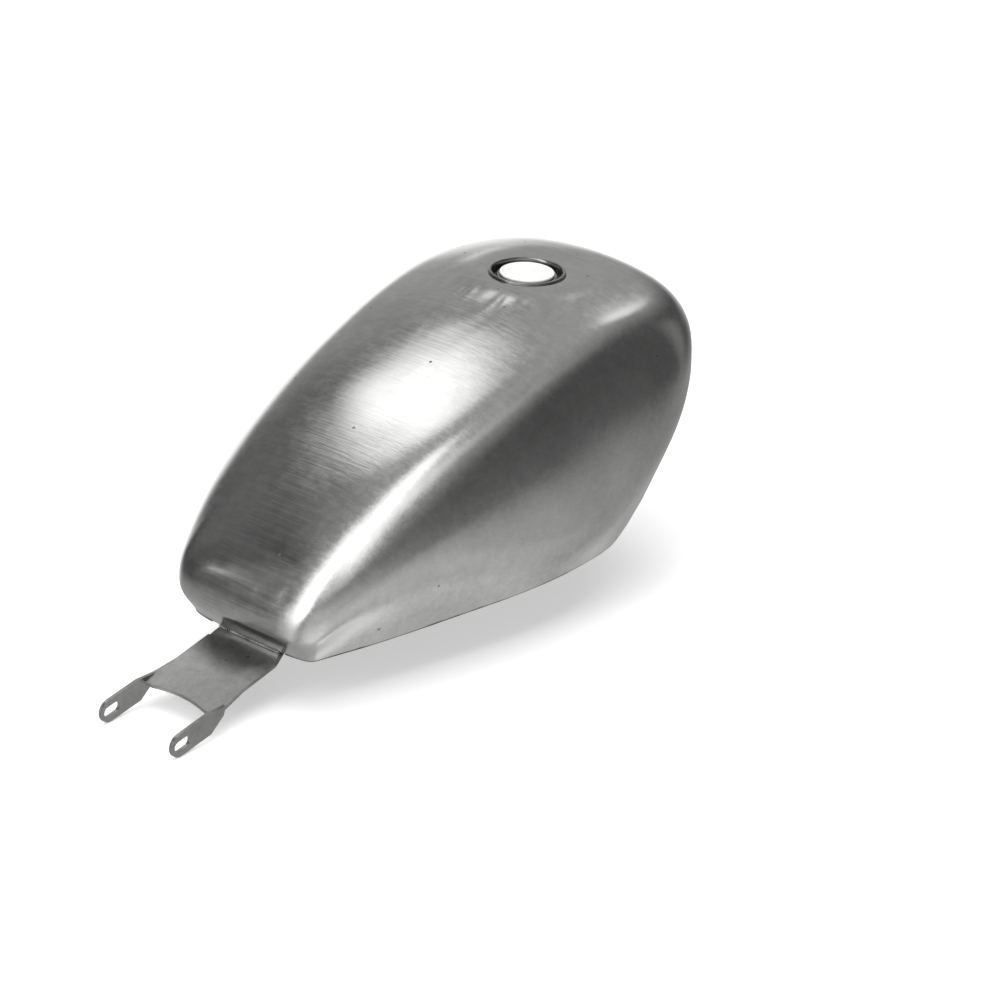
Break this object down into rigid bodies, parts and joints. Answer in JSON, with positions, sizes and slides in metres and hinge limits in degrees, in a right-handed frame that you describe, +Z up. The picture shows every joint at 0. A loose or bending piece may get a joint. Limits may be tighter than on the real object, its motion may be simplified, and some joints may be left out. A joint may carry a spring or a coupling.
{
  "type": "fuel tank",
  "caption": "Teardrop motorcycle fuel tank in bare brushed steel, with a frame tunnel, slotted rear bracket, front ears, pump opening and a push-in plastic filler plug.",
  "frame": {"origin": "centre of the front mounting bolt's holes, midway between the two front ears", "axes": "+X forward along the tank, +Y to the bike's left along the front mounting bolt, +Z up"},
  "size_m": [0.6735, 0.2962, 0.2698],
  "materials": {
    "skin_steel": "bare cold-rolled steel, dressed crosswise along the centre seam",
    "pan_steel": "bare pressed steel",
    "plate_steel": "bare plate with mill marks",
    "turned_steel": "turned and spun steel",
    "machined_steel": "machined, bright zinc",
    "white_plastic": "white moulded polyethylene"
  },
  "bodies": {
    "tank": {"left_shell": "skin_steel", "right_shell": "skin_steel", "left_pan": "pan_steel", "right_pan": "pan_steel", "tunnel": "pan_steel", "rear_bracket": "plate_steel", "front_left_ear": "plate_steel", "front_right_ear": "plate_steel", "filler_cup": "turned_steel", "filler_neck": "turned_steel", "pump_flange": "machined_steel", "pump_weld_nuts": "machined_steel", "outlet_dish": "pan_steel", "outlet_bung": "machined_steel", "vent_tube": "machined_steel", "vent_nipple": "machined_steel", "plug_weld_disc": "plate_steel"},
    "plug": {"filler_plug": "white_plastic"}
  },
  "joints": [
    {"name": "plug_lift", "type": "slide", "parent": "tank", "child": "plug", "axis": [0, 0, 1], "range_m": [0, 0.06]}
  ]
}
